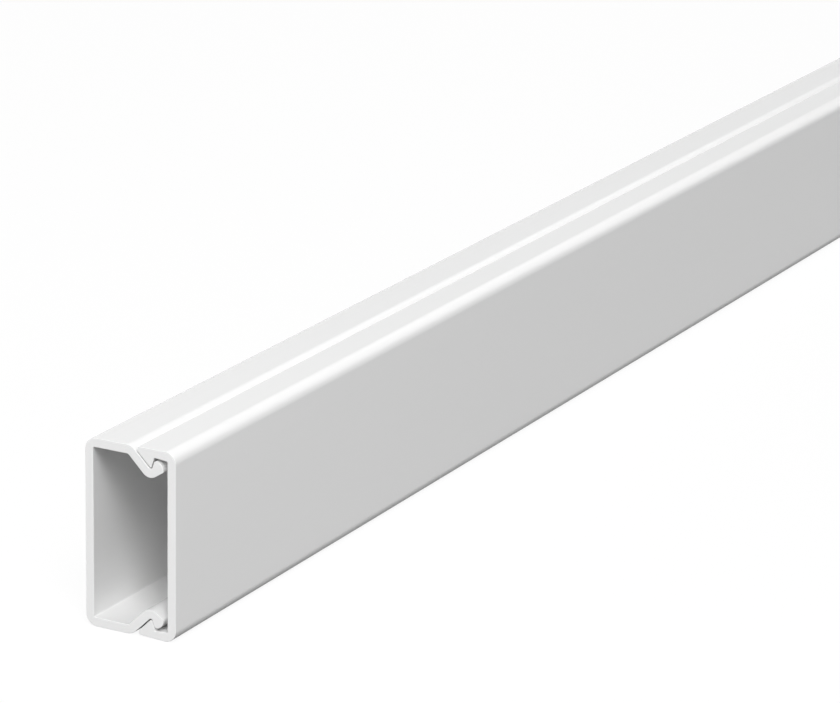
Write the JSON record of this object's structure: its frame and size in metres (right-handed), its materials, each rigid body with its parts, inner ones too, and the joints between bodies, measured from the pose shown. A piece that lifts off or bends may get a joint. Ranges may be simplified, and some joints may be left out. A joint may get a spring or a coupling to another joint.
{
  "type": "mini cable trunking",
  "caption": "Slim two-piece channel that hides cables along a wall: a U-shaped base with in-turned hooks and a clip-on cover.",
  "frame": {"origin": "middle of the length and of the depth, on the lowest face", "axes": "+X out from the wall to the face of the cover, +Y along the length of the stock, +Z across the two side walls"},
  "size_m": [0.0158, 2, 0.03],
  "materials": {
    "white_pvc": "satin, as extruded"
  },
  "bodies": {
    "base": {"trunking_base": "white_pvc"},
    "cover": {"trunking_cover": "white_pvc"}
  },
  "joints": [
    {"name": "cover_slide", "type": "slide", "parent": "base", "child": "cover", "axis": [0, 1, 0], "range_m": [-2, 2]}
  ]
}
